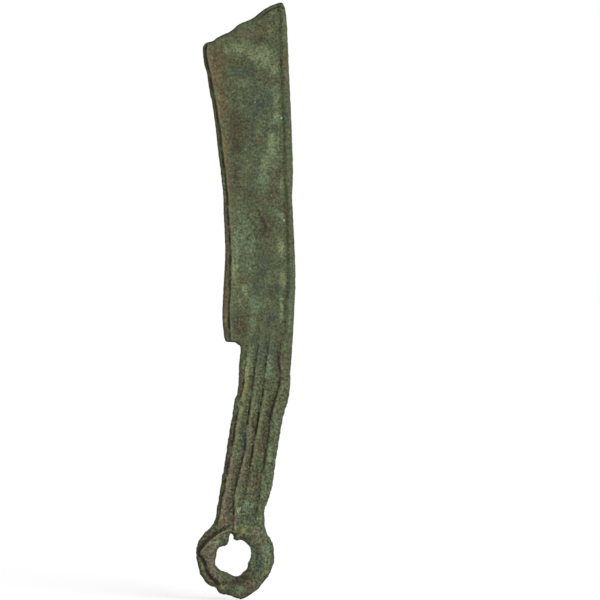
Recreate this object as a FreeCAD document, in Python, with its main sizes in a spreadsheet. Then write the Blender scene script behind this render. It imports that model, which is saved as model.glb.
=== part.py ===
"""Knife-shaped bronze coin, upright on its ring, obverse towards -Y and reverse towards +Y.

The coin is one casting. Its regions are separate solids that meet face to face: the thin blade
field, the raised rims round blade and handle, the ribs on both sides of the handle, the ring and
the stub of the pouring gate. The origin is the centre of the ring's hole, +Z runs towards the
blade's tip, and +X towards the thick back of the knife.
"""
import FreeCAD, Part

import math
import os

import Sketcher

# How a sketch numbers its own origin and the start, end and middle of a side
ORIGIN = -1
START, END, MIDDLE = range(1, 4)

# The side of the sketch's plane that each face of the coin lies on, as a sign for expressions
OBVERSE = "1"
REVERSE = "-1"

TOUCH = 0.001

# Driving dimensions in millimetres. A size that ends in _x or _height is a place in the frame.
DIMENSIONS = [
    ("field_thickness", 0.8, "blade field and handle web, face to face"),
    ("edge_radius", 250.0, "hollow curve of the cutting edge"),
    ("edge_waist_x", -1.9, "innermost place of the cutting edge"),
    ("edge_waist_height", 66.0, "height of that place"),
    ("edge_corner_height", 117.4, "where the cutting edge meets the slanting end"),
    ("edge_rim_width", 1.5, "rim along the cutting edge"),
    ("edge_rim_thickness", 1.6, "the same rim, face to face"),
    ("back_radius", 740.0, "bulging curve of the back"),
    ("back_crown_x", 13.9, "outermost place of the back"),
    ("back_crown_height", 72.0, "height of that place"),
    ("back_top_height", 125.8, "where the back meets the tip"),
    ("back_rim_width", 1.7, "rim along the back"),
    ("back_rim_thickness", 1.9, "the same rim, face to face"),
    ("tip_x", 10.8, "point of the blade"),
    ("tip_height", 127.6, "height of the point"),
    ("tip_shoulder_height", 127.0, "slanting end where it leaves the back rim"),
    ("tip_corner_rise", 0.9, "rise of the slanting end across the edge rim"),
    ("tip_rim_width", 1.1, "rim along the slanting end"),
    ("tip_rim_thickness", 1.5, "the same rim, face to face"),
    ("shoulder_height", 49.6, "square shoulder under the blade"),
    ("shoulder_rim_width", 1.2, "rim along the shoulder"),
    ("handle_front_x", 1.6, "front of the handle under the shoulder"),
    ("bend_height", 37.4, "bend of the handle"),
    ("bend_front_x", 0.6, "front of the handle at the bend"),
    ("neck_height", 9.0, "where the handle meets the ring"),
    ("neck_front_x", -4.1, "front of the handle at the ring"),
    ("neck_back_x", 7.0, "back of the handle at the ring"),
    ("handle_rim_width", 1.3, "rim along the front of the handle"),
    ("handle_rim_thickness", 1.8, "the same rim, face to face"),
    ("rib_inset", 4.0, "middle of the first rib from the front of the handle"),
    ("rib_pitch", 2.4, "middle of one rib to the next"),
    ("rib_width", 0.9, "each rib"),
    ("rib_relief", 0.3, "how far a rib stands up"),
    ("rib_run_up", 5.0, "how far the ribs run up into the blade"),
    ("rib_stop", 0.8, "from the end of the ribs to the ring"),
    ("ring_radius", 8.9, "outside of the ring"),
    ("ring_shift_x", 0.4, "middle of the outside from the middle of the hole"),
    ("ring_thickness", 2.2, "ring, face to face"),
    ("hole_radius", 4.2, "hole of the ring"),
    ("ring_front_height", 6.3, "where the front of the neck runs into the ring"),
    ("ring_back_height", 5.8, "where the back of the neck runs into the ring"),
    ("gate_front_x", 0.2, "front of the gate stub on the ring"),
    ("gate_back_x", 3.2, "back of the gate stub on the ring"),
    ("gate_taper", 0.7, "how much each side of the stub draws in"),
    ("gate_bottom_height", -9.6, "broken end of the stub"),
    ("gate_thickness", 1.5, "stub, face to face"),
    ("rim_bevel", 0.4, "worn corners of the rims"),
    ("ring_rounding", 0.6, "rounded corners of the ring"),
    ("chevron_height", 76.0, "middle of the two chevrons on the obverse"),
    ("chevron_x", 8.2, "point of the outer chevron"),
    ("chevron_reach", 4.6, "half height of the outer chevron"),
    ("chevron_depth", 2.4, "from its point back to its ends"),
    ("chevron_gap", 2.0, "outer chevron to the inner one"),
    ("mark_width", 0.6, "width of a raised line of the marks"),
    ("mark_relief", 0.25, "how far the marks stand up"),
    ("bar_x", 4.4, "front bar of the mark on the reverse"),
    ("bar_gap", 2.6, "front bar to back bar"),
    ("bar_height", 69.0, "lower end of the bars"),
    ("bar_length", 6.4, "length of the bars"),
    ("pellet_height", 78.4, "middle of the pellet over the bars"),
    ("pellet_radius", 0.75, "pellet"),
]

doc = FreeCAD.newDocument("knife_coin")
sheet = doc.addObject("Spreadsheet::Sheet", "Sizes")
for row, (alias, size, meaning) in enumerate(DIMENSIONS, start=1):
    sheet.set(f"A{row}", alias)
    sheet.set(f"B{row}", str(size))
    sheet.setAlias(f"B{row}", alias)
    sheet.set(f"C{row}", meaning)
doc.recompute()

nodes = []


def words(expression):
    """The names, numbers and signs of an expression that is written with spaces."""
    return expression.split()


def is_name(word):
    """Whether a word of an expression is a name of the sheet."""
    return word[0].isalpha()


def bound(expression):
    """The expression with each name pointing into the sheet, for setExpression."""
    return " ".join(f"Sizes.{word}" if is_name(word) else word for word in words(expression))


def number(word):
    """The size that a name of the sheet, or a written number, stands for."""
    return float(sheet.get(word)) if is_name(word) else float(word)


def value(expression):
    """The worth of a sum of names and products, such as 'rim_width + 2 * rib_pitch'."""
    total = 0.0
    sign = 1.0
    product = None
    for word in words(expression):
        if word in "+-":
            total += sign * product
            sign = 1.0 if word == "+" else -1.0
            product = None
        elif word != "*":
            product = number(word) if product is None else product * number(word)
    return total + sign * product


class Circle:
    """A circle that sides of an outline run on: its middle and radius, as expressions."""

    def __init__(self, middle_x, middle_z, radius):
        self.middle_x = middle_x
        self.middle_z = middle_z
        self.radius = radius

    def middle(self):
        """The middle of the circle."""
        return FreeCAD.Vector(value(self.middle_x), value(self.middle_z), 0)

    def at_height(self, height, side):
        """The point of the circle at a height, on its right (1) or left (-1) half."""
        rise = value(height) - value(self.middle_z)
        reach = math.sqrt(value(self.radius) ** 2 - rise ** 2)
        return self.middle() + FreeCAD.Vector(side * reach, rise, 0)

    def at_place(self, across, side):
        """The point of the circle at a place across, on its upper (1) or lower (-1) half."""
        step = value(across) - value(self.middle_x)
        reach = math.sqrt(value(self.radius) ** 2 - step ** 2)
        return self.middle() + FreeCAD.Vector(step, side * reach, 0)


class Corner:
    """A corner of an outline, and the circle that the side after it follows, if any.

    A corner on a circle names that circle and only one of its two places. The side takes the
    shorter way round its circle unless long_way is set.
    """

    def __init__(self, across=None, height=None, on=None, side=1, follow=None, long_way=False):
        self.across = across
        self.height = height
        self.follow = follow
        self.long_way = long_way
        if on is None:
            self.point = FreeCAD.Vector(value(across), value(height), 0)
        elif across is None:
            self.point = on.at_height(height, side)
        else:
            self.point = on.at_place(across, side)


def fix(sketch, geometry, position, across=None, height=None):
    """Tie the places of a point of the sketch to expressions of the sheet."""
    for kind, expression in (("DistanceX", across), ("DistanceY", height)):
        if expression is not None:
            terms = (kind, ORIGIN, START, geometry, position, value(expression))
            index = sketch.addConstraint(Sketcher.Constraint(*terms))
            sketch.setExpression(f"Constraints[{index}]", bound(expression))


def fix_radius(sketch, geometry, expression):
    """Tie the radius of a circle or arc to an expression of the sheet."""
    index = sketch.addConstraint(Sketcher.Constraint("Radius", geometry, value(expression)))
    sketch.setExpression(f"Constraints[{index}]", bound(expression))


def draw_arc(sketch, start, end, circle):
    """The arc of a circle between two corners, and which of its ends is the start."""
    full = Part.Circle(circle.middle(), FreeCAD.Vector(0, 0, 1), value(circle.radius))
    first = full.parameter(start.point)
    last = full.parameter(end.point)
    shorter_is_forward = (last - first) % (2 * math.pi) < math.pi
    forward = shorter_is_forward != start.long_way
    if not forward:
        first, last = last, first
    geometry = sketch.addGeometry(Part.ArcOfCircle(full, first, last), False)
    fix(sketch, geometry, MIDDLE, circle.middle_x, circle.middle_z)
    fix_radius(sketch, geometry, circle.radius)
    return geometry, (START, END) if forward else (END, START)


def draw_outline(sketch, corners):
    """A closed outline through the corners, anticlockwise as the obverse is seen."""
    sides = []
    for corner, following in zip(corners, corners[1:] + corners[:1]):
        if corner.follow is None:
            line = Part.LineSegment(corner.point, following.point)
            sides.append((sketch.addGeometry(line, False), (START, END)))
        else:
            sides.append(draw_arc(sketch, corner, following, corner.follow))
    for (geometry, ends), (next_geometry, next_ends) in zip(sides, sides[1:] + sides[:1]):
        joined = (geometry, ends[1], next_geometry, next_ends[0])
        sketch.addConstraint(Sketcher.Constraint("Coincident", *joined))
    for corner, (geometry, ends) in zip(corners, sides):
        fix(sketch, geometry, ends[0], corner.across, corner.height)


def draw_circle(sketch, across, height, radius):
    """A full circle in the sketch."""
    middle = FreeCAD.Vector(value(across), value(height), 0)
    circle = Part.Circle(middle, FreeCAD.Vector(0, 0, 1), value(radius))
    geometry = sketch.addGeometry(circle, False)
    fix(sketch, geometry, MIDDLE, across, height)
    fix_radius(sketch, geometry, radius)


def new_body(name, corners=None):
    """A body with a sketch in the middle plane of the coin."""
    body = doc.addObject("PartDesign::Body", name)
    body.Label = name
    plane = next(item for item in body.Origin.OriginFeatures if item.Role == "XZ_Plane")
    sketch = body.newObject("Sketcher::SketchObject", f"{name}_outline")
    sketch.AttachmentSupport = (plane, "")
    sketch.MapMode = "FlatFace"
    if corners is not None:
        draw_outline(sketch, corners)
    nodes.append(body)
    return body, sketch


def pad_both_ways(body, sketch, thickness):
    """Thicken the sketch by half the thickness to either side of the middle plane."""
    pad = body.newObject("PartDesign::Pad", f"{body.Name}_pad")
    pad.Profile = sketch
    pad.SideType = "Symmetric"
    pad.setExpression("Length", bound(thickness))
    doc.recompute()
    return pad


def pad_on_face(body, sketch, base, relief, face):
    """Raise the sketch from one face of the plate that it lies on."""
    sketch.setExpression("AttachmentOffset.Base.z", f"{face} * {bound(base)} / 2")
    pad = body.newObject("PartDesign::Pad", f"{body.Name}_pad")
    pad.Profile = sketch
    pad.Reversed = face == REVERSE
    pad.setExpression("Length", bound(relief))
    doc.recompute()
    return pad


def face_edges(pad, chosen):
    """The names of those edges of both faces of the pad that the function chosen picks."""
    names = []
    for index, edge in enumerate(pad.Shape.Edges, start=1):
        in_face = edge.BoundBox.YLength < TOUCH
        if in_face and chosen(edge):
            names.append(f"Edge{index}")
    return names


def make_rims(rims):
    """Rims with bevelled edges: name, corners, thickness and a size its short ends stay under."""
    for name, corners, thickness, short_end in rims:
        body, sketch = new_body(name, corners)
        pad = pad_both_ways(body, sketch, thickness)
        limit = value(short_end)
        bevel = body.newObject("PartDesign::Chamfer", f"{name}_bevel")
        bevel.Base = (pad, face_edges(pad, lambda edge: edge.Length > limit))
        bevel.setExpression("Size", bound("rim_bevel"))
        doc.recompute()


EDGE_MIDDLE = ("edge_waist_x - edge_radius", "edge_waist_height")
BACK_MIDDLE = ("back_crown_x - back_radius", "back_crown_height")
EDGE_OUTER = Circle(*EDGE_MIDDLE, "edge_radius")
EDGE_INNER = Circle(*EDGE_MIDDLE, "edge_radius + edge_rim_width")
BACK_OUTER = Circle(*BACK_MIDDLE, "back_radius")
BACK_INNER = Circle(*BACK_MIDDLE, "back_radius - back_rim_width")
RING_OUTER = Circle("ring_shift_x", "0", "ring_radius")

END_AT_EDGE = "edge_corner_height + tip_corner_rise"
SHOULDER_TOP = "shoulder_height + shoulder_rim_width"


def make_blade_field():
    """The thin field of the blade, inside its rims."""
    corners = [
        Corner("handle_front_x", "shoulder_height"),
        Corner(height="shoulder_height", on=BACK_INNER, follow=BACK_INNER),
        Corner(height="tip_shoulder_height - tip_rim_width", on=BACK_INNER),
        Corner(height=f"{END_AT_EDGE} - tip_rim_width", on=EDGE_INNER, follow=EDGE_INNER),
        Corner(height=SHOULDER_TOP, on=EDGE_INNER),
        Corner("handle_front_x", SHOULDER_TOP),
    ]
    body, sketch = new_body("blade_field", corners)
    pad_both_ways(body, sketch, "field_thickness")


def make_blade_rims():
    """The four raised rims round the blade."""
    edge = [
        Corner(height="shoulder_height", on=EDGE_OUTER),
        Corner(height="shoulder_height", on=EDGE_INNER, follow=EDGE_INNER),
        Corner(height=END_AT_EDGE, on=EDGE_INNER),
        Corner(height="edge_corner_height", on=EDGE_OUTER, follow=EDGE_OUTER),
    ]
    back = [
        Corner(height="bend_height", on=BACK_INNER),
        Corner(height="bend_height", on=BACK_OUTER, follow=BACK_OUTER),
        Corner(height="back_top_height", on=BACK_OUTER),
        Corner("tip_x", "tip_height"),
        Corner(height="tip_shoulder_height", on=BACK_INNER, follow=BACK_INNER),
    ]
    end = [
        Corner(height=f"{END_AT_EDGE} - tip_rim_width", on=EDGE_INNER),
        Corner(height="tip_shoulder_height - tip_rim_width", on=BACK_INNER, follow=BACK_INNER),
        Corner(height="tip_shoulder_height", on=BACK_INNER),
        Corner(height=END_AT_EDGE, on=EDGE_INNER, follow=EDGE_INNER),
    ]
    shoulder = [
        Corner(height="shoulder_height", on=EDGE_INNER),
        Corner("handle_front_x", "shoulder_height"),
        Corner("handle_front_x", SHOULDER_TOP),
        Corner(height=SHOULDER_TOP, on=EDGE_INNER, follow=EDGE_INNER),
    ]
    make_rims([
        ("cutting_edge_rim", edge, "edge_rim_thickness", "2 * edge_rim_width"),
        ("blade_back_rim", back, "back_rim_thickness", "2 * back_rim_width"),
        ("slanting_end_rim", end, "tip_rim_thickness", "2 * tip_rim_width"),
        ("shoulder_rim", shoulder, "edge_rim_thickness", "shoulder_rim_width"),
    ])


def make_handle_web():
    """The thin web of the handle, inside its rims."""
    corners = [
        Corner("neck_front_x + handle_rim_width", "neck_height"),
        Corner("neck_back_x - back_rim_width", "neck_height"),
        Corner(height="bend_height", on=BACK_INNER, follow=BACK_INNER),
        Corner(height="shoulder_height", on=BACK_INNER),
        Corner("handle_front_x + handle_rim_width", "shoulder_height"),
        Corner("bend_front_x + handle_rim_width", "bend_height"),
    ]
    body, sketch = new_body("handle_web", corners)
    pad_both_ways(body, sketch, "field_thickness")


def make_handle_rims():
    """The rims along the front and the back of the handle."""
    front = [
        Corner("neck_front_x", "neck_height"),
        Corner("neck_front_x + handle_rim_width", "neck_height"),
        Corner("bend_front_x + handle_rim_width", "bend_height"),
        Corner("handle_front_x + handle_rim_width", "shoulder_height"),
        Corner("handle_front_x", "shoulder_height"),
        Corner("bend_front_x", "bend_height"),
    ]
    back = [
        Corner("neck_back_x - back_rim_width", "neck_height"),
        Corner("neck_back_x", "neck_height"),
        Corner(height="bend_height", on=BACK_OUTER),
        Corner(height="bend_height", on=BACK_INNER),
    ]
    make_rims([
        ("handle_front_rim", front, "handle_rim_thickness", "2 * handle_rim_width"),
        ("handle_back_rim", back, "back_rim_thickness", "2 * back_rim_width"),
    ])


def make_handle_ribs():
    """Two thin ribs on each side of the handle, which run up into the blade."""
    sides = (("obverse", OBVERSE), ("reverse", REVERSE))
    for side_name, face in sides:
        for rib in range(2):
            middle = f"rib_inset + {rib} * rib_pitch"
            front = f"{middle} - 0.5 * rib_width"
            back = f"{middle} + 0.5 * rib_width"
            low = "neck_height + rib_stop"
            high = "shoulder_height + rib_run_up"
            corners = [
                Corner(f"neck_front_x + {front}", low),
                Corner(f"neck_front_x + {back}", low),
                Corner(f"bend_front_x + {back}", "bend_height"),
                Corner(f"handle_front_x + {back}", high),
                Corner(f"handle_front_x + {front}", high),
                Corner(f"bend_front_x + {front}", "bend_height"),
            ]
            body, sketch = new_body(f"{side_name}_rib_{rib + 1}", corners)
            pad_on_face(body, sketch, "field_thickness", "rib_relief", face)


def make_ring():
    """The ring with its hole, and the neck that it grows from."""
    corners = [
        Corner(height="ring_back_height", on=RING_OUTER, side=1),
        Corner("neck_back_x", "neck_height"),
        Corner("neck_front_x", "neck_height"),
        Corner(height="ring_front_height", on=RING_OUTER, side=-1, follow=RING_OUTER,
               long_way=True),
    ]
    body, sketch = new_body("ring", corners)
    draw_circle(sketch, "0", "0", "hole_radius")
    pad = pad_both_ways(body, sketch, "ring_thickness")
    top = value("neck_height") - TOUCH
    hole_top = value("hole_radius") + TOUCH

    def outside(edge):
        return edge.BoundBox.ZMin < top and edge.BoundBox.ZMax > hole_top

    rounding = body.newObject("PartDesign::Fillet", "ring_rounding")
    rounding.Base = (pad, face_edges(pad, outside))
    rounding.setExpression("Radius", bound("ring_rounding"))
    doc.recompute()


def make_gate_stub():
    """The broken stub of the pouring gate under the ring."""
    corners = [
        Corner("gate_front_x + gate_taper", "gate_bottom_height"),
        Corner("gate_back_x - gate_taper", "gate_bottom_height"),
        Corner(across="gate_back_x", on=RING_OUTER, side=-1, follow=RING_OUTER),
        Corner(across="gate_front_x", on=RING_OUTER, side=-1),
    ]
    body, sketch = new_body("gate_stub", corners)
    pad_both_ways(body, sketch, "gate_thickness")


def make_obverse_chevrons():
    """Two nested raised chevrons, a plain mark in the middle of the obverse."""
    for name, steps in (("obverse_chevron_outer", 0), ("obverse_chevron_inner", 1)):
        point = f"chevron_x - {steps} * chevron_gap"
        ends = f"{point} - chevron_depth"
        low = f"chevron_height - chevron_reach + {steps} * chevron_gap"
        high = f"chevron_height + chevron_reach - {steps} * chevron_gap"
        corners = [
            Corner(f"{point} - mark_width", "chevron_height"),
            Corner(f"{ends} - mark_width", low),
            Corner(ends, low),
            Corner(point, "chevron_height"),
            Corner(ends, high),
            Corner(f"{ends} - mark_width", high),
        ]
        body, sketch = new_body(name, corners)
        pad_on_face(body, sketch, "field_thickness", "mark_relief", OBVERSE)


def make_reverse_mark():
    """Two raised bars with a pellet over them, a plain mark on the reverse."""
    for name, steps in (("reverse_bar_front", 0), ("reverse_bar_back", 1)):
        front = f"bar_x + {steps} * bar_gap"
        corners = [
            Corner(front, "bar_height"),
            Corner(f"{front} + mark_width", "bar_height"),
            Corner(f"{front} + mark_width", "bar_height + bar_length"),
            Corner(front, "bar_height + bar_length"),
        ]
        body, sketch = new_body(name, corners)
        pad_on_face(body, sketch, "field_thickness", "mark_relief", REVERSE)
    body, sketch = new_body("reverse_pellet")
    across = "bar_x + 0.5 * bar_gap + 0.5 * mark_width"
    draw_circle(sketch, across, "pellet_height", "pellet_radius")
    pad_on_face(body, sketch, "field_thickness", "mark_relief", REVERSE)


def check(node):
    """Stop unless every feature of the node is sound and the node is one valid solid."""
    for item in [node] + list(node.Group):
        if "Invalid" in item.State or "Error" in item.State:
            raise RuntimeError(f"{item.Label}: {item.State}")
    if node.Shape.isNull() or not node.Shape.isValid() or len(node.Shape.Solids) != 1:
        raise RuntimeError(f"{node.Label}: its shape is not one valid solid")


def main():
    """Make every region of the coin, check it and write it."""
    make_blade_field()
    make_blade_rims()
    make_handle_web()
    make_handle_rims()
    make_handle_ribs()
    make_ring()
    make_gate_stub()
    make_obverse_chevrons()
    make_reverse_mark()
    doc.recompute()
    os.makedirs("parts", exist_ok=True)
    volume = 0.0
    for node in nodes:
        check(node)
        volume += node.Shape.Volume
    for node in nodes:
        node.Shape.exportStep(os.path.join("parts", f"{node.Label}.step"))
    print(f"{len(nodes)} nodes, {volume:.1f} cubic millimetres of bronze")


main()
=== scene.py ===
"""A knife-shaped bronze coin: one worn, patinated casting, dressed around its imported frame."""
import math

import bmesh
import bpy
import numpy as np
from bpy.props import FloatProperty, FloatVectorProperty, PointerProperty
from mathutils import Color, Matrix, Vector, noise


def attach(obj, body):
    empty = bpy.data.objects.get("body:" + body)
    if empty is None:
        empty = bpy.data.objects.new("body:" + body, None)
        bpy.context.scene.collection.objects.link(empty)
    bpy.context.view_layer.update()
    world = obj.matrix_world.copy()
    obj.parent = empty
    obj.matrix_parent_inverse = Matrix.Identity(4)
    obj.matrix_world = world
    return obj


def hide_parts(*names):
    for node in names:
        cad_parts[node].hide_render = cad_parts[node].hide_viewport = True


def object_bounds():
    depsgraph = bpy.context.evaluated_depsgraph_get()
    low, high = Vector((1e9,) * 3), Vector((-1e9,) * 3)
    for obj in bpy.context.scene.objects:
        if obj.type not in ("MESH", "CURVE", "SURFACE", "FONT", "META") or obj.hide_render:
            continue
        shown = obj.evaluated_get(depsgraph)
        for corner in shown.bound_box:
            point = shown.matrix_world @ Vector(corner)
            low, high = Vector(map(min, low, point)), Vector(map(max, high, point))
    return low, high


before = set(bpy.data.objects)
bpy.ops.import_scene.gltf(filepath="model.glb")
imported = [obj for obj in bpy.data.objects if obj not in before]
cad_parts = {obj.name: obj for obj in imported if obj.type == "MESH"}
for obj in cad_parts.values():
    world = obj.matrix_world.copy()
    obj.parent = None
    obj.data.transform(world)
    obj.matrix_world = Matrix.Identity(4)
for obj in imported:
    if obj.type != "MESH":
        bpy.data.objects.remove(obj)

bl_info = {
    "name": "Knife Coin",
    "version": (1, 0, 0),
    "blender": (4, 5, 0),
    "location": "3D View > Sidebar > Coin",
    "description": "Makes the casting, the patina and the studio of a knife-shaped bronze coin",
    "category": "Object",
}

CAD_BOX = [list(corner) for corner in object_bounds()]
MM = 0.001
OBVERSE, REVERSE = -1, 1
# Heights between which the handle takes over from the blade, and the ring from the handle
HANDLE_BLEND = (56.0, 48.0)
RING_BLEND = (10.0, 5.5)

# The outline of the casting as the obverse is seen, in millimetres from the middle of the
# ring's hole: (across, up). Each side is a smooth line through its places.
BACK_SIDE = [
    (7, 8.2), (7.1, 11.2), (8.1, 14.2), (8.75, 16.4), (9.2, 19.2), (9.8, 23.4), (10.5, 27.8),
    (11, 30.8), (11.9, 34.6), (12.8, 37.8), (13.1, 43.6), (13.6, 51), (14, 58.8), (14.15, 66),
    (13.85, 73), (13.6, 79), (13.4, 83.2), (13.6, 88.6), (13.35, 97), (12.9, 107.6), (12.5, 116),
    (12.2, 122.6), (11.9, 125.6), (11.35, 127.2),
]
SLANTING_END = [
    (10.7, 127.6), (9, 127.1), (7.4, 126.3), (5.9, 125.2), (4.4, 124), (2.8, 123.3), (1, 122.5),
    (-0.6, 121.1), (-2.2, 120.3), (-3.6, 119.7), (-4.9, 118.7), (-6.2, 118.4),
]
EDGE_SIDE = [
    (-6.95, 117.7), (-7.15, 116.2), (-6.75, 113.2), (-6.1, 111), (-5.75, 108.2), (-5, 104.6),
    (-4.3, 99.8), (-3.75, 94.9), (-3.1, 89.5), (-2.5, 84.2), (-2.3, 79), (-2.05, 73.2), (-2, 68.6),
    (-2.4, 61.8), (-2.65, 56), (-2.4, 52.2), (-2.1, 50.4),
]
SHOULDER = [(-1.7, 49.75), (-0.6, 49.65), (0.35, 49.55), (0.95, 49.1), (1.45, 48.85)]
FRONT_SIDE = [
    (1.55, 48.2), (1.45, 46.6), (1.2, 44.4), (1.15, 42), (0.95, 39.4), (0.75, 37.6), (0.3, 36.9),
    (0.1, 36), (-0.35, 32.8), (-1, 29), (-1.6, 25.4), (-2.1, 21.8), (-2.8, 18), (-3.4, 14.4),
    (-3.95, 10.9), (-4.4, 8.6),
]
RING_SIDE = [
    (-5.6, 7), (-6.8, 5.9), (-7.9, 4.2), (-8.6, 2.4), (-8.65, 0.8), (-8.3, -1.2), (-7.9, -3),
    (-7.1, -4.6), (-6.2, -5.8), (-5, -6.35), (-4.1, -6.8), (-3.5, -7.7), (-2.6, -8.2), (-1, -8.45),
    (0.3, -8.95), (1.6, -9.35), (2.7, -9), (4.4, -7.9), (5.7, -6.8), (6.8, -5.4), (8, -3.9),
    (8.75, -2.2), (9.3, -0.2), (9.2, 1.8), (8.9, 3.6), (8, 5.2), (7.3, 6.6),
]
RING_HOLE = [
    (3.8, 0.1), (4, 1.2), (3.7, 2.5), (2.9, 3.6), (1.7, 4.25), (0.6, 4.2), (-0.1, 4.5), (-0.1, 5.2),
    (-0.6, 5.75), (-1, 5.3), (-1.15, 4.1), (-1.7, 3.15), (-2.9, 2.7), (-3.8, 2), (-4, 0.7),
    (-4.25, -0.7), (-4.15, -1.6), (-3.1, -2.6), (-1.8, -3.1), (-0.8, -3.5), (0.2, -4.05), (1.1, -4),
    (2.1, -3.1), (3, -2.3), (3.25, -1.3), (3.5, -0.7),
]

# Crests along the handle, from the blade down to the ring: the front rim's, two thin ribs, and
# the back rim's
OBVERSE_CRESTS = [
    [(3.6, 56), (3.35, 49), (3.1, 45.7), (2.7, 42.5), (2.3, 39.2), (1.5, 36), (0.9, 32.8), (0.45, 29.6),
     (-0.05, 26.4), (-0.65, 23.2), (-1.3, 20), (-1.75, 16.8), (-2.6, 13.5), (-3.05, 10.3), (-3.5, 8.4)],
    [(6.2, 56), (5.85, 49), (5.35, 45.7), (4.95, 42.5), (4.55, 39.2), (4.05, 36), (3.65, 32.8),
     (3.1, 29.6), (2.85, 26.4), (2.35, 23.2), (1.5, 20), (0.75, 16.8), (0.2, 13.5), (0.2, 11)],
    [(8.5, 56), (8.15, 49), (7.75, 45.7), (7.35, 42.5), (7.05, 39.2), (6.6, 36), (5.95, 32.8),
     (5.45, 29.6), (4.8, 26.4), (4.3, 23.2), (3.85, 20), (3.25, 16.8), (2.6, 13.5), (2, 10.5)],
    [(11.6, 56), (11.1, 50), (10.5, 45.7), (10.9, 42.5), (10.5, 39.2), (9.6, 36), (8.7, 32.8),
     (8.35, 29.6), (7.85, 26.4), (7.4, 23.2), (6.8, 20), (6.3, 16.8), (5.9, 13.5), (5.4, 10.5)],
]
REVERSE_CRESTS = [
    [(4.7, 56), (3.85, 51.4), (2.95, 46.2), (1.95, 40.2), (1.35, 35.5), (0.45, 31.3), (-0.25, 27.4),
     (-1.15, 24.1), (-1.85, 21), (-2.5, 17), (-3.1, 12), (-3.7, 8.4)],
    [(7.2, 56), (5.95, 49.5), (5.25, 46.1), (4.65, 41.7), (4.15, 37.7), (3.45, 34.3), (2.85, 31.2),
     (2.15, 27.6), (1.65, 24.7), (0.95, 20.9), (0.3, 16), (-0.2, 11)],
    [(9.4, 56), (8.45, 50), (7.75, 44.1), (6.45, 34.2), (5.65, 31.1), (5.15, 28.5), (4.45, 23.9),
     (3.65, 19.4), (3.2, 15), (2.8, 11)],
    [(12.4, 56), (11.95, 51.8), (10.85, 44), (10.05, 38.7), (8.85, 32.3), (8.05, 27), (7.45, 23.1),
     (6.65, 19.5), (6.1, 15), (5.6, 10.5)],
]

# How well each of those crests has lasted, at the crest heights
CREST_HEIGHTS = [10, 17, 28, 37, 44, 56]
OBVERSE_WEAR = [
    [0.95, 0.95, 0.95, 0.8, 0.5, 0.35], [0.8, 1.1, 0.95, 0.9, 0.6, 0.35],
    [0.3, 0.5, 1.1, 1.1, 0.65, 0.4], [0.5, 0.7, 0.85, 1, 0.75, 0.35],
]
REVERSE_WEAR = [
    [0.6, 0.8, 0.9, 0.9, 0.9, 0.6], [0.2, 0.6, 1, 1, 1, 0.6],
    [0.1, 0.25, 0.4, 0.45, 0.35, 0.2], [0.7, 0.9, 1.1, 1.2, 1.2, 1],
]

# How far inside the outline the blade's rims step up or down, on each face: (up, in)
EDGE_STEPS = {
    OBVERSE: [(50, 1.25), (54, 1.5), (61, 1.55), (66, 1.3), (71, 1.15), (76, 1.1), (80, 0.9),
              (90, 0.9), (98, 0.85), (104, 0.72), (118, 0.68)],
    REVERSE: [(50, 1.3), (62, 1.2), (82, 1.1), (104, 1.1), (118, 1.1)],
}
BACK_STEPS = {
    OBVERSE: [(48, 2.1), (56, 1.8), (62, 1.75), (70, 1.5), (76, 1.45), (82, 1.15), (89, 2),
              (98, 1.65), (104, 1.75), (112, 1.7), (118, 1.6), (124, 1.3)],
    REVERSE: [(48, 1.6), (55, 1.5), (62, 1.26), (72, 1.1), (90, 1), (104, 1.1), (124, 1.1)],
}

# The ring's dark foot on each face, a groove darkened with painted shade and dirt, and the crisp seam
# on the obverse
RING_FOOT = {
    OBVERSE: [[(-2.2, 6.9), (-3.6, 6.15), (-4.95, 5.2), (-6.2, 4.2), (-7.2, 3.05), (-7.85, 2),
               (-7.9, 1), (-7.4, 0.1), (-6.8, -0.9), (-6.4, -2.2), (-5.9, -3.4),
               (-5.3, -4.3), (-4.4, -5.1), (-3.8, -5.8)]],
    REVERSE: [[(5, 6.2), (6, 4.6), (6.5, 3), (6.7, 1), (6.6, -0.6), (6.1, -2.2),
               (5.4, -3.4), (4.5, -4.7), (3.5, -5.7)],
              [(-3.4, 5.9), (-4.8, 5.2), (-5.7, 4.2), (-6.4, 2.8), (-6.5, 0.8), (-6.1, -1.4),
               (-5.4, -3)]],
}
RING_SEAM = [
    [(0.4, 10.6), (0.15, 8.8), (0.2, 7.5), (0.5, 6.2)],
    [(0.6, 6.05), (-1.1, 6.5), (-2.4, 6.1), (-3.7, 5.3), (-4.95, 4.2), (-6.2, 3.05),
     (-7.1, 2.15), (-7.6, 1.4), (-7.5, 0.8)],
]
# Lumps and hollows of the casting on the obverse: (across, up, size, height)
LUMPS = [
    (1.9, 6.2, 0.7, 0.4), (-2.9, -6.6, 0.75, 0.4), (0.9, 5.1, 0.45, 0.3), (2.8, 5.3, 0.45, 0.3),
    (-0.4, 8.8, 0.6, -0.3), (-0.5, 10.8, 0.5, -0.2), (-1.6, 4.6, 0.6, 0.15), (-3.4, 3.8, 1.2, -0.3),
    (-6.7, -1, 0.4, -0.2), (-5.4, -4.1, 0.4, -0.2),
]

# Plain marks in the middle of the blade: lines of places
OBVERSE_MARK = [
    [(5.6, 71.4), (7.6, 75.4), (7.6, 76.6), (5.6, 80.6)],
    [(3.6, 73.4), (5.6, 75.6), (5.6, 76.4), (3.6, 78.6)],
]
REVERSE_MARK = [
    [(4.7, 69), (4.7, 75.4)],
    [(7.3, 69), (7.3, 75.4)],
    [(6, 78.3), (6, 78.5)],
]

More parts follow.
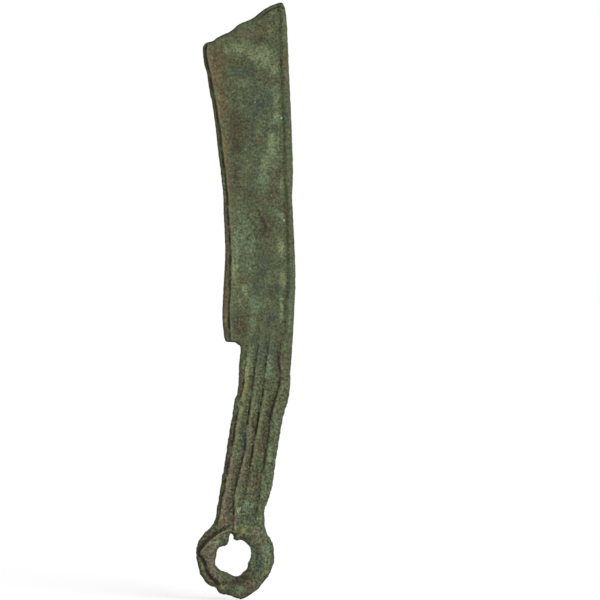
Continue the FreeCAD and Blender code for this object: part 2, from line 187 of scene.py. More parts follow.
# Patches of the patina on each face, by kind: (across, up, half width, half height, strength)
OBVERSE_PATCHES = {
    "dusk": [
        (0.5, 97, 2, 6.5, 0.9), (0, 88, 1.5, 4, 0.8), (2.6, 112.4, 2.4, 1.4, 0.7),
        (7.4, 76.4, 1.9, 3.6, 0.8), (3.6, 83.4, 1.6, 1.4, 0.8), (9.2, 83.8, 1.2, 1.6, 0.8),
        (1.4, 54, 2, 2.4, 0.8), (10.1, 46, 0.9, 3.8, 0.9), (8.2, 33.6, 0.9, 2.4, 0.9),
        (7.3, 27.6, 0.9, 4.4, 1.1), (3.2, 20, 1.4, 5, 0.6), (-0.4, 10, 1.5, 2, 0.7),
        (-2.6, -5.2, 2.6, 0.9, 0.7), (5.2, 19, 0.8, 5, 0.6), (8, 61.2, 1.1, 1.6, 0.6),
        (1.6, -5.2, 2.4, 0.9, 1.2), (6.2, 119.2, 1.4, 0.7, 0.8), (10.4, 88.2, 0.9, 1.6, 0.7)],
    "slate": [
        (2.6, 111.8, 2.8, 1.6, 0.8), (5.4, 104, 3.2, 3.8, 0.8), (8.2, 98, 1.5, 1.2, 1.1),
        (4.4, 97.6, 1.4, 4.6, 0.6), (6.4, 66.6, 1.5, 3.4, 0.8), (5.6, 62.4, 1.6, 1.8, 0.8),
        (10.2, 62.1, 0.8, 1.6, 1), (8.6, 55.2, 2.2, 1.8, 0.8), (6.8, 47.6, 2.4, 2.8, 0.8),
        (2.2, 27, 1, 3, 0.8), (4.8, 9.2, 1.3, 1.6, 1.1), (4.2, 85.4, 0.9, 3, 0.5),
        (6, 0, 0.8, 2.4, 1.3), (5.3, -2.8, 0.8, 0.8, 1.1), (5.4, 90, 1.2, 2.6, 0.6),
        (12.3, 101, 0.5, 2.4, 0.8), (12.7, 60, 0.5, 4, 0.8), (9.2, 104, 0.6, 3.4, 0.6)],
    "earth": [
        (-4.3, 113, 2.1, 4.2, 1.2), (-3, 104, 1.2, 4, 1.1), (-1.8, 93, 0.8, 7, 0.8),
        (-1.9, 63, 0.7, 12, 0.9), (1.6, 64.4, 0.9, 1.3, 0.7), (6, 96.3, 1, 0.8, 0.9),
        (5.6, 120.9, 2, 0.9, 0.7), (1.2, 120.7, 1.1, 0.8, 0.7), (12, 113.8, 0.4, 1.4, 1.3),
        (-1, 30, 0.7, 8, 0.6), (-2.6, 16, 0.7, 7, 0.6), (-6.2, 4.6, 1.6, 1.2, 1.2),
        (-2.4, 8.6, 1.4, 1.2, 0.9), (-5.2, -5.2, 1.4, 1.4, 0.9), (-1.2, 84, 0.5, 6, 0.8)],
    "mauve": [
        (-5.4, -1.4, 1.5, 3.4, 1), (-4, -4.4, 1.4, 1, 0.9), (-5.2, 2.6, 0.8, 1.6, 1),
        (4.9, 5.2, 1, 2, 0.9), (4.6, -6.6, 1.8, 0.9, 1), (2.4, -8.2, 1.4, 0.7, 0.9),
        (6.4, 3, 0.5, 2, 0.8), (-1.2, 20, 1, 7, 0.9), (-2, 12.6, 0.8, 3.6, 0.8), (0.2, 9.6, 0.9, 2, 1),
        (4.2, 27.6, 0.5, 5, 0.8), (2.2, 21.4, 0.7, 4, 0.8), (4.6, 16.6, 1.2, 3, 0.7),
        (12.1, 109.6, 0.4, 1.8, 1.1), (12.5, 88, 0.4, 2.4, 0.7), (8, 110.4, 1.4, 1.4, 0.5),
        (3.6, 120, 1.6, 1, 0.5), (9.6, 87, 0.9, 3, 0.6), (-1.4, 78, 0.8, 8, 0.7),
        (11, 41.6, 0.5, 3, 0.8)],
    "verdigris": [
        (6.4, 86.8, 1.3, 2, 0.9), (8.6, 92.6, 1.6, 3.2, 0.9), (2.6, 73.4, 2.6, 5.6, 0.65),
        (2, 79.4, 1.6, 1.6, 0.6), (4.8, 58.2, 1.5, 2, 0.9), (4.4, 54.2, 0.9, 1.6, 0.8),
        (8.1, 43.4, 0.7, 2.4, 0.9), (9.7, 32.4, 0.7, 3.2, 0.6), (6.6, 15.6, 0.8, 2.2, 0.7),
        (3.3, 11.8, 1.5, 1.4, 0.9), (7.6, 1.6, 1.2, 4, 0.5), (4.3, 1.2, 0.5, 2.6, 1.1),
        (7.4, 115.6, 1.4, 1, 0.8), (2, 109.4, 1.4, 1, 0.6), (9.6, 106, 0.7, 2.4, 0.8),
        (9.4, 100.6, 1, 1.4, 0.9), (12.7, 56, 0.7, 5, 0.6), (8, 22, 0.7, 7, 0.6),
        (1.4, -7.2, 1.3, 0.8, 1), (10, 79, 0.8, 2, 0.6), (3.4, 66.8, 1.4, 2, 0.6)],
    "moss": [
        (1.4, 117, 2.8, 1.1, 0.9), (5.6, 115.6, 2.4, 1.5, 1), (7.6, 114.6, 2, 1.9, 0.9),
        (9.2, 112.2, 1, 1.6, 0.9), (9.9, 104, 0.4, 4, 0.8), (8.8, 95.2, 1.2, 2.4, 1),
        (7, 91, 0.8, 1.8, 1), (0.2, 67.6, 0.8, 5.6, 0.7), (2.6, 61.6, 1, 1.3, 0.9),
        (10.8, 71.4, 0.7, 1.8, 1.1), (11.1, 86, 0.5, 2.4, 0.8), (11.1, 78.6, 0.4, 1.6, 0.9),
        (11.2, 64.6, 0.6, 2.2, 1), (11, 57.6, 0.4, 3, 0.8), (3.2, 44.4, 0.9, 2.4, 0.9),
        (7.8, 0.8, 0.9, 1.6, 0.4), (5.9, 9, 0.6, 1.6, 0.8), (-3.6, 3.8, 1.4, 0.9, 0.7),
        (7.8, -2.2, 0.8, 1.4, 0.5), (1.2, 58.8, 0.8, 1.4, 0.6)],
    # Yellow spots; those along the handle's first crest are a painted highlight on its lit side
    "ochre_and_highlight": [
        (2.6, 42, 0.5, 2.8, 1.3), (2.2, 37.6, 0.5, 2.8, 1.4), (1.8, 34.4, 0.5, 1.6, 1.3),
        (1.2, 30.6, 0.35, 2.4, 0.9), (8.4, 121.2, 0.9, 0.6, 0.8), (-3.4, 104, 0.4, 6, 0.8),
        (-5.2, 114, 0.4, 3.4, 0.7), (10.9, 71.6, 0.6, 1.4, 1.1), (11.3, 64.4, 0.5, 1.2, 1.2),
        (-0.5, 72, 0.4, 1.8, 1), (-2, 55, 0.5, 4, 0.9), (10, 112, 0.3, 3, 0.9),
        (1.9, 6.3, 0.8, 0.8, 1.6), (-2.9, -6.6, 0.9, 0.7, 1.6), (-2.9, 9.6, 0.5, 0.5, 1),
        (1, 5, 0.5, 0.5, 1.2), (7.9, -2.6, 0.6, 1, 1), (6.2, -4.6, 0.8, 0.6, 0.8)],
    "bloom": [
        (10.4, 101.2, 0.9, 0.6, 1.1), (4.7, 104.8, 0.4, 0.6, 0.9), (11, 70.8, 0.8, 1.6, 0.9),
        (11.4, 77.4, 0.5, 0.9, 0.9), (-2.2, 86, 0.3, 5, 0.7), (4.9, 8.6, 0.5, 0.8, 0.8),
        (1.2, 11, 0.8, 1.4, 0.8), (4, 1.6, 0.4, 2, 0.9), (6, 36.4, 1.6, 4, 0.5), (3, 72, 2.4, 5, 0.35),
        (7.6, 104, 2, 5, 0.3), (-5.8, 3.9, 0.9, 0.4, 0.8)],
    # Dark spots of dirt and painted shade, along the rims and the handle's lines and on the ring
    "soil_and_shade": [
        (-3.2, 6.6, 1, 0.35, 0.79), (-5, 5.3, 0.9, 0.5, 0.86), (-6.5, 4.1, 0.7, 0.7, 0.86),
        (-7.6, 2.6, 0.5, 0.9, 0.86), (11.5, 81, 0.4, 0.8, 0.72), (11.8, 79.4, 0.4, 0.6, 0.72),
        (11.2, 66, 0.3, 2, 0.58), (11.6, 58, 0.3, 3, 0.58), (9, 36.8, 0.6, 1, 0.72),
        (7, 25.6, 0.4, 1, 0.58), (4.5, 30.4, 0.35, 2.2, 0.65), (0.7, 18.4, 0.5, 1.2, 0.79),
        (0.2, 15.6, 0.4, 1.2, 0.65), (-0.9, 12.6, 0.4, 1.2, 0.65), (-0.4, 8.8, 0.5, 0.5, 0.65),
        (-0.4, 10.8, 0.4, 0.5, 0.58), (4.5, -3.4, 0.5, 0.6, 0.65), (-0.3, -6.3, 0.9, 0.5, 0.65),
        (0.8, -5.3, 1.4, 0.6, 0.78), (2.8, -4.2, 1.1, 0.6, 0.78), (-1.6, -5.4, 1.2, 0.5, 0.65),
        (-6.7, -1, 0.4, 0.6, 0.79), (-5.6, -4, 0.5, 0.6, 0.79), (3.3, 6.4, 0.4, 0.5, 0.65),
        (0.4, 5.7, 0.3, 0.4, 0.65)],
}
REVERSE_PATCHES = {
    "dusk": [
        (10, 97, 1.6, 3.4, 1.1), (10.4, 102, 1.2, 2.4, 0.8), (3.8, 80.6, 2.2, 4, 1),
        (4.4, 49.6, 1.2, 3.2, 0.9), (3.8, 40.4, 0.8, 3.6, 0.9), (5.2, 17.4, 1.5, 1.8, 1.1),
        (4.2, 68, 3.4, 9, 0.5), (5.4, 58, 3, 4, 0.6), (6, 74, 1, 1.2, 0.6), (6.4, 97.4, 0.9, 1.6, 1.1),
        (5.4, 119, 1.6, 0.8, 1), (1.6, 116.4, 1, 1.2, 1), (-3.8, 107.6, 0.7, 1.8, 1),
        (5.4, 104.6, 1.4, 0.9, 0.7), (3, 56.6, 2, 3.4, 0.8), (3, 88.6, 1.2, 4.6, 0.7),
        (10, 88, 0.8, 3, 0.5), (11, 108, 1, 4, 0.7)],
    "slate": [
        (8.2, 105.6, 2, 3, 0.9), (7, 84, 2.6, 4, 0.6), (9.4, 65.6, 1.8, 2.4, 0.9),
        (-0.6, 53.4, 1.2, 1.8, 0.8), (-1, 12.4, 1.2, 1.6, 1.1), (-1.6, 92, 0.5, 3.6, 0.9),
        (3.6, 79, 1.4, 2.6, 0.5)],
    "earth": [
        (13, 106, 0.7, 18, 1.1), (13.3, 66, 0.7, 22, 1), (1.3, 117, 1, 1.4, 1),
        (-0.5, 119.6, 1.8, 0.9, 1), (-0.8, 117.4, 1, 1.4, 0.9), (10.8, 112, 1.2, 4, 0.8),
        (-4.5, 108, 0.8, 3.4, 1.1), (-3.3, 106.6, 0.8, 2, 1.1), (-1.7, 66, 0.6, 12, 0.7),
        (12, 42, 1, 8, 0.9), (10.2, 31, 1.1, 6, 1.1), (8.4, 21, 0.9, 6, 1), (6, 11, 1.4, 4, 1),
        (0.8, 37, 0.8, 3, 0.9), (-0.6, 29, 0.5, 5, 0.8), (7.6, 0.4, 1, 4.4, 1),
        (5.6, -5.2, 1.6, 1.4, 0.9), (-2, -7, 3.4, 1.1, 1), (-7.2, -2.6, 0.9, 2.2, 1),
        (1.6, 15.4, 1.2, 2.4, 0.7), (2.4, -7.4, 2, 1, 0.9)],
    "mauve": [
        (4.6, 71.4, 2.4, 3, 0.8), (5.4, 64.4, 1.5, 3.6, 0.8), (4.1, 60.6, 1.2, 1.8, 0.9),
        (6.6, 92.6, 1.6, 3, 0.7), (5.2, 1, 0.9, 3.6, 1.2), (3, -4.4, 1.6, 1.1, 1.2),
        (-4.6, 4.4, 1, 1.4, 0.8), (-5.2, -2, 0.9, 2, 0.8), (-1, -5.4, 2.2, 0.8, 1),
        (3.6, 40.4, 0.7, 3.4, 1.2), (3.4, 17.4, 1.6, 2, 0.8)],
    "verdigris": [
        (9.2, 91, 2, 4, 0.8), (6.6, 101.6, 1.4, 1.8, 1), (7.3, 112.4, 1.4, 1.4, 1),
        (1.8, 105.6, 1.4, 2, 1.1), (7.4, 76.4, 1.2, 2.6, 0.9), (8, 54.8, 1.8, 2.4, 0.9),
        (0.8, 66, 1.2, 3, 1), (7.2, 43.6, 2.4, 7, 1.4), (6.8, 34, 1.6, 5.4, 1.1),
        (5.4, 26.4, 1.6, 5.4, 1.1), (2.6, 28, 2, 8, 1.3), (0.2, 20.6, 0.9, 3.6, 1.1),
        (2.6, 9.6, 2.2, 2.6, 1), (-0.6, 8, 2, 1.6, 0.9), (-3.4, 8.4, 0.8, 1.2, 1),
        (1.9, 47, 0.6, 3, 1.1), (8.4, 85, 1.6, 3, 0.6), (-6, 6.4, 1.4, 0.8, 1.2),
        (5.6, 114.4, 3.4, 2.8, 1.1), (-1.4, 108.4, 2, 5, 1.1), (-1.4, 101.6, 1.8, 3, 1),
        (9.2, 51, 1, 2, 0.9), (9.6, 67, 1.6, 2.6, 0.8)],
    "moss": [
        (4.8, 113.4, 2.2, 2.6, 1.1), (0.9, 65.6, 0.9, 2.8, 1.1), (-0.8, 98.6, 1, 1.1, 1.2),
        (9.6, 115.8, 0.8, 2.4, 0.9), (11.4, 69.6, 0.7, 2, 0.9), (11.6, 75.4, 0.5, 2.4, 0.7),
        (7.6, 118.6, 1.6, 1.4, 0.9), (-0.2, 60.4, 0.8, 1.8, 0.9)],
    "malachite": [
        (9.1, 118, 1.3, 1.6, 1.3), (4.2, 114.8, 1.7, 2.6, 1.6), (6.9, 121.6, 1, 1, 1.2),
        (-2.7, 111.2, 1, 2.4, 1.2), (4.3, 102.9, 1.1, 1.4, 1.3), (-0.3, 95.7, 1.5, 1.4, 1.9),
        (1.4, 105.2, 1, 1.4, 1.1), (1, 61.6, 1.3, 2, 1.5), (7.3, 56, 1, 1.4, 1.2),
        (6.3, 41.6, 0.8, 3.2, 1.9), (4.1, 44.9, 0.9, 1.3, 1.9), (2, 45.4, 0.5, 3.2, 1.2),
        (5.2, 34.8, 0.9, 2.6, 2.2), (2.2, 32.4, 0.8, 3, 2), (4.1, 28.6, 1.2, 2.6, 2.4),
        (2.6, 21.2, 0.9, 3.4, 2), (0.2, 20.8, 0.7, 1.6, 1.7), (-0.7, 15.8, 0.7, 3.6, 1.6),
        (7.4, 27, 0.9, 4.6, 1.1), (8.2, 42, 1.4, 5, 1.2), (1.2, 25.4, 0.7, 3, 1.3),
        (-7.4, 1.1, 1.1, 0.8, 1.6), (0.4, 73.8, 0.8, 1.4, 1.2), (9, 52, 0.8, 1, 1.1),
        (3.8, 111.4, 0.9, 1.4, 1.1), (7.8, 77.4, 0.6, 1.4, 1.1), (7, 115.4, 1.4, 1.4, 1.2),
        (0.6, 65.4, 0.7, 1.4, 1.1), (-0.6, 108.6, 1, 1.6, 1.1)],
    "bloom": [
        (6.8, 121.6, 0.9, 0.9, 1.2), (-2.8, 111.4, 0.8, 2.2, 1.2), (3.8, 113.2, 1.4, 2.8, 1.1),
        (-0.5, 102, 2.2, 1.8, 1.2), (-1, 106.6, 0.9, 1, 1.2), (3.6, 94.4, 0.8, 1.4, 1.2),
        (0.4, 91.6, 0.5, 1.9, 1.6), (-0.6, 88, 0.7, 1.8, 1.8), (1.3, 87.2, 0.9, 0.7, 1.3),
        (0.4, 81.4, 0.8, 1.2, 1.1), (6.4, 74.9, 0.9, 1.4, 1.2), (0.4, 73.8, 0.7, 1, 1.2),
        (11.3, 70.8, 0.6, 2, 1.1), (7.7, 77.2, 0.8, 1.8, 0.9), (7.3, 56.1, 1, 1.4, 1),
        (5.6, 112, 2.2, 3, 0.65), (0.6, 109.6, 2.6, 3, 0.8), (4, 90, 2.4, 4, 0.6),
        (5, 98, 2.6, 1.8, 0.85), (0.6, 78, 0.9, 4.4, 0.85), (7.6, 51, 1.8, 2.6, 0.6),
        (8.4, 66, 1.8, 2.4, 0.6), (7.4, 86, 2.4, 4, 0.5), (-0.4, 57.2, 0.6, 2, 1), (0.8, 62.4, 1, 3, 1),
        (4.4, 103.4, 1.4, 1.6, 0.9), (7.3, 48.3, 0.7, 0.6, 1.6), (6.4, 42, 0.6, 3, 1),
        (5.2, 34.6, 0.6, 2, 1.2), (2.2, 33, 0.6, 2.4, 1.4), (4.2, 28.8, 0.8, 2.2, 1.4),
        (0.2, 21.2, 0.5, 0.9, 1.4), (2.6, 21.6, 0.6, 2, 1.1), (3.8, 71, 0.6, 3, 0.7),
        (-1.4, 98, 0.4, 12, 0.6), (8.2, 60, 1.2, 5, 0.5)],
    "ochre_and_highlight": [
        (12.6, 72, 0.5, 4, 0.7), (-6.6, -4.6, 0.8, 1.4, 0.9), (-0.9, 98.4, 0.8, 0.9, 1.1),
        (6.8, -4, 0.6, 1, 1), (3.6, -8, 1.2, 0.5, 1), (-0.1, -8.1, 1.2, 0.5, 0.9),
        (-4.2, -6.8, 1.2, 0.6, 0.9), (-6.9, -3.6, 0.6, 1.2, 0.9), (-7.9, 3.6, 0.4, 1.4, 0.8),
        (7.4, 15, 1, 5, 0.65), (11.4, 40, 0.5, 6, 0.6), (9.8, 29, 0.5, 5, 0.6), (13, 96, 0.4, 8, 0.7),
        (-4.5, 107.4, 0.3, 2.4, 1), (0.8, 66.6, 0.7, 1.2, 0.8), (12.4, 108, 0.4, 6, 0.7)],
    "rust": [
        (8, 0.8, 0.7, 1.1, 1), (3.1, 119.3, 0.6, 0.7, 0.9), (1, 66.6, 0.5, 0.6, 0.7)],
    # Dark spots of dirt and painted shade, along the rims and the handle's lines and on the ring
    "soil_and_shade": [
        (12, 46, 0.4, 3, 0.58), (6.4, 9.6, 0.7, 1.4, 0.58), (-3.6, 4.6, 0.6, 0.6, 0.65),
        (-4.4, 4.8, 0.9, 0.6, 0.72), (-5.3, 3.4, 0.6, 0.8, 0.72), (6.3, 3.4, 0.4, 1.6, 0.65),
        (4, -4.6, 1, 0.7, 0.65), (-5.6, -1.6, 0.5, 1, 0.65), (4.6, 17, 0.8, 1, 0.43),
        (5.6, 6.4, 0.6, 1, 0.58), (6.6, 97.4, 0.7, 1, 0.65), (7, 13.4, 1.2, 5, 0.5),
        (1.6, 116, 0.7, 0.9, 0.58), (2, 98.6, 1, 0.5, 0.5), (9, 16, 0.5, 3, 0.58),
        (7, 11.4, 0.6, 1.8, 0.65)],
}

# Kinds of patch that tint the patina, and those that lie on it as crusts, spots, and dirt with painted
# shade
TINTS = ("dusk", "slate", "earth", "mauve", "verdigris", "moss")
KINDS = TINTS + ("malachite", "bloom", "ochre_and_highlight", "rust", "soil_and_shade")


def number(name, description, default):
    """A setting for a number."""
    return FloatProperty(name=name, description=description, default=default)


class CastingSizes(bpy.types.PropertyGroup):
    """Sizes of the casting's relief in millimetres; half thicknesses count from its middle."""

    voxel: number("Voxel", "Size of the mesh's faces", 0.212)
    field: number("Field", "Half thickness of the blade", 0.40)
    wall: number("Wall", "Half thickness at the outline", 0.36)
    rounding: number("Rounding", "Worn corner at the wall", 0.45)
    edge_rim: number("Edge rim", "Half thickness", 0.70)
    back_rim: number("Back rim", "Half thickness", 0.82)
    flange: number("Flange", "Half thickness outside a rim", 0.5)
    end_rim: number("End rim", "Half thickness", 0.72)
    end_crest: number("End crest", "In from the outline", 0.5)
    handle_rim: number("Handle rim", "Half thickness", 0.90)
    rib: number("Rib", "Half thickness at a rib", 0.80)
    channel: number("Channel", "Half thickness between", 0.38)
    ring: number("Ring", "Half thickness at its crest", 1.08)
    mark: number("Mark", "How far the marks stand up", 0.2)
    pitting: number("Pitting", "Depth of the corrosion", 0.06)
    raggedness: number("Raggedness", "Of the outline", 0.12)


def tint(name, description, colour):
    """A setting for a colour as the eye sees it."""
    return FloatVectorProperty(name=name, description=description, size=3,
                               subtype="COLOR_GAMMA", default=colour)


class PatinaColours(bpy.types.PropertyGroup):
    """Colours of the patina as the eye sees them."""

    olive: tint("Olive", "Most of the patina", (0.345, 0.37, 0.255))
    umber: tint("Umber", "Brownish mottling", (0.315, 0.315, 0.215))
    green: tint("Green", "Greenish mottling", (0.33, 0.39, 0.27))
    sage: tint("Sage", "Light flecks", (0.58, 0.62, 0.46))
    dusk: tint("Dusk", "Dark, purplish patches", (0.265, 0.245, 0.175))
    slate: tint("Slate", "Dark, bluish patches", (0.265, 0.305, 0.248))
    earth: tint("Earth", "Brown patches", (0.365, 0.32, 0.215))
    mauve: tint("Mauve", "Pinkish grey patches", (0.40, 0.36, 0.295))
    verdigris: tint("Verdigris", "Green patches", (0.395, 0.46, 0.348))
    moss: tint("Moss", "Yellowish green patches", (0.445, 0.487, 0.348))
    # Soil is dirt, and also painted shade in the grooves, along the outline and in the dark spots
    soil_and_shade: tint("Soil", "Dirt in the hollows", (0.10, 0.075, 0.015))
    tan: tint("Tan", "Bare, worn seam", (0.57, 0.53, 0.43))
    # Ochre is yellow spots, and also the painted highlight on the crests' lit side
    ochre_and_highlight: tint("Ochre", "Yellowish spots and crests", (0.51, 0.495, 0.335))
    malachite: tint("Malachite", "Vivid green crust", (0.52, 0.67, 0.48))
    bloom: tint("Bloom", "Pale crust", (0.66, 0.78, 0.64))
    rust: tint("Rust", "Orange spots", (0.44, 0.34, 0.20))


class StudioSettings(bpy.types.PropertyGroup):
    """The floor, the light and the camera."""

    lens: number("Lens", "Focal length in millimetres", 200.0)
    view_height: number("View height", "Millimetres that the camera takes in at the coin", 137.7)
    aim_across: number("Aim across", "Where the camera looks, in millimetres", 15.2)
    aim_up: number("Aim up", "Where the camera looks, in millimetres", 59.33)
    sky: number("Sky", "Light from all round", 0.25)
    key: number("Key", "Strength of the lamps", 2.85)
    softness: FloatProperty(name="Softness", description="How broad a lamp looks",
                            subtype="ANGLE", default=math.radians(40))
    floor: tint("Floor", "Its colour", (0.76, 0.76, 0.76))
    bounce: tint("Bounce", "Colour that the floor throws back", (0.66, 0.66, 0.66))
    floor_glow: number("Floor glow", "Part of the floor's white that is its own", 0.48)


def smooth_line(places, closed=False, steps=6):
    """Places along a smooth line through the given ones."""
    points = np.array(places, float)
    if closed:
        points = np.vstack([points[-1:], points, points[:2]])
    else:
        points = np.vstack([2 * points[0] - points[1], points, 2 * points[-1] - points[-2]])
    line = []
    for before, start, end, after in zip(points, points[1:], points[2:], points[3:]):
        for step in range(steps):
            t = step / steps
            line.append(0.5 * (2 * start + (end - before) * t
                               + (2 * before - 5 * start + 4 * end - after) * t ** 2
                               + (3 * start - before - 3 * end + after) * t ** 3))
    if not closed:
        line.append(points[-2])
    return np.array(line)


def gap_to(line, places):
    """How far each place lies from a line."""
    nearest = np.full(len(places), np.inf)
    for start, end in zip(line[:-1], line[1:]):
        run = end - start
        share = np.clip((places - start) @ run / max(run @ run, 1e-12), 0, 1)
        nearest = np.minimum(nearest, np.linalg.norm(places - start - share[:, None] * run, axis=1))
    return nearest


def ease(low, high, amounts):
    """0 below low, 1 above high and a smooth step between; low may be the larger one."""
    share = np.clip((amounts - low) / (high - low), 0, 1)
    return share * share * (3 - 2 * share)


def bump(amounts, width):
    """1 in the middle, falling off smoothly over a width."""
    return np.exp(-(amounts / width) ** 2)


def across_at(side, heights):
    """Where a side or groove lies across, at each height."""
    line = smooth_line(side)
    line = line[np.argsort(line[:, 1])]
    return np.interp(heights, line[:, 1], line[:, 0])


def wander(up, seed, length):
    """Noise that changes only along the coin, over a length in millimetres."""
    steps = np.arange(-12.0, 130.0, 0.3)
    line = np.column_stack([np.full(len(steps), 30.0 * seed), np.zeros(len(steps)), steps])
    return np.interp(up, steps, fractal(line, length))


def shaded_rim(gap, step, top, outer, field):
    """A rim that steps up from its outer flange and slopes down to the field."""
    rise = outer + (top - outer) * ease(-0.3, 0.3, gap - step)
    fall = field + (top - field) * ease(1.8, 0.2, gap - step)
    return np.minimum(rise, fall) + 0.05 * bump(gap - step - 0.5, 0.22)


def lit_rim(gap, step, top, wall, field):
    """A rim that rises from the wall and steps down gently to the field."""
    rise = wall + (top - wall) * np.clip(gap / (0.6 * step), 0, 1) ** 0.7
    fall = field + (top - field) * ease(0.55, -0.55, gap - step)
    return np.minimum(rise, fall)


def handle_relief(across, up, face, sizes):
    """Half thickness across the handle, hollow between its crests, with its dark lines of painted shade
    and dirt, and its worn bands, which carry a painted highlight.
    """
    crests, wear = (OBVERSE_CRESTS, OBVERSE_WEAR) if face == OBVERSE else (
        REVERSE_CRESTS, REVERSE_WEAR)
    front = across_at(FRONT_SIDE, up)
    back = across_at(BACK_SIDE, up)
    lines = []
    tops = []
    dark = np.zeros(len(up))
    worn = np.zeros(len(up))
    highest = [sizes.handle_rim, sizes.rib, sizes.rib, sizes.back_rim]
    for index, (crest, lasting, top) in enumerate(zip(crests, wear, highest)):
        seed = index + 1 + 4 * (face == REVERSE)
        line = across_at(crest, up) + 0.14 * wander(up, seed, 2.2)
        kept = np.interp(up, CREST_HEIGHTS, lasting)
        kept = kept * np.clip(0.95 + 0.7 * wander(up, seed + 10, 4.0), 0.3, 1.2)
        lines.append(line)
        tops.append(sizes.channel + (top - sizes.channel) * kept)
        # Painted shade and dirt: a dark line on each crest's flank away from this face's lamp. Painted
        # highlight and wear: a band on the lit flank.
        past = (across - line) * (1 if face == OBVERSE else -1)
        shade_and_dirt = kept * np.clip(1.22 + 0.9 * wander(up, seed + 20, 1.8), 0.4, 1.7)
        dark = np.maximum(dark, shade_and_dirt * bump(past + 0.26, 0.25))
        worn = np.maximum(worn, kept * bump(past - 0.4, 0.35))
    share = np.clip((lines[0] - across) / np.maximum(lines[0] - front, 0.1), 0, 1)
    ledge = np.interp(up, [24, 32], [0.0, 1.0])
    half = tops[0] + (sizes.flange - tops[0]) * (share * (1 - ledge) + ease(0, 0.5, share) * ledge)
    share = np.clip((across - lines[-1]) / np.maximum(back - lines[-1], 0.1), 0, 1)
    slope = 0.35 * share + 0.65 * share ** 3 if face == OBVERSE else ease(0, 0.4, share)
    outside = tops[-1] + ((0.42 if face == OBVERSE else 0.62) - tops[-1]) * slope
    half = np.where(across > lines[-1], outside, half)
    for left, right, left_top, right_top in zip(lines, lines[1:], tops, tops[1:]):
        share = (across - left) / np.maximum(right - left, 0.1)
        top = np.where(share < 0.5, left_top, right_top)
        hollow = sizes.channel + (top - sizes.channel) * np.abs(2 * share - 1) ** 2.4
        half = np.where((share >= 0) & (share <= 1), hollow, half)
    return half, dark, worn


def ring_relief(gap_out, gap_hole, places, face, sizes):
    """Half thickness of the ring, rounded between its hole and its outside, and its foot."""
    share = np.clip(gap_hole / np.maximum(gap_hole + gap_out, 1e-6), 0, 1)
    peak = 0.48
    rim = 0.5
    side = np.where(share < peak, share / peak, (1 - share) / (1 - peak))
    half = rim + (sizes.ring - rim) * np.sin(0.5 * np.pi * side) ** 0.9
    width, depth = (0.54, 0.36) if face == OBVERSE else (0.7, 0.26)
    foot = np.maximum.reduce([bump(gap_to(smooth_line(line), places), width)
                              for line in RING_FOOT[face]])
    return half - depth * foot, foot


def patches(across, up, spots):
    """The strongest of a face's soft-edged spots at each place."""
    total = np.zeros(len(across))
    for spot_across, spot_up, half_width, half_height, strength in spots:
        reach = ((across - spot_across) / half_width) ** 2 + ((up - spot_up) / half_height) ** 2
        total = np.maximum(total, strength * np.exp(-0.7 * reach))
    return total


def plate_mesh(sizes, half):
    """A plate with the coin's outline and hole, meshed in even faces, in millimetres."""
    made = bmesh.new()
    outside = BACK_SIDE + SLANTING_END + EDGE_SIDE + SHOULDER + FRONT_SIDE + RING_SIDE
    for places in (outside, RING_HOLE):
        line = smooth_line(places, closed=True, steps=4)
        corners = [made.verts.new((across, -half, up)) for across, up in line]
        for start, end in zip(corners, corners[1:] + corners[:1]):
            made.edges.new((start, end))
    bmesh.ops.triangle_fill(made, use_beauty=True, edges=made.edges[:])
    raised = bmesh.ops.extrude_face_region(made, geom=made.faces[:])
    corners = [piece for piece in raised["geom"] if isinstance(piece, bmesh.types.BMVert)]
    bmesh.ops.translate(made, verts=corners, vec=(0, 2 * half, 0))
    bmesh.ops.recalc_face_normals(made, faces=made.faces)
    solid = bpy.data.meshes.new("coin_plate")
    made.to_mesh(solid)
    made.free()

    block = bpy.data.objects.new("coin_plate", solid)
    bpy.context.scene.collection.objects.link(block)
    remesh = block.modifiers.new("Even faces", "REMESH")
    remesh.mode = "VOXEL"
    remesh.voxel_size = sizes.voxel
    graph = bpy.context.evaluated_depsgraph_get()
    even = bpy.data.meshes.new_from_object(block.evaluated_get(graph))
    bpy.data.objects.remove(block)
    return even


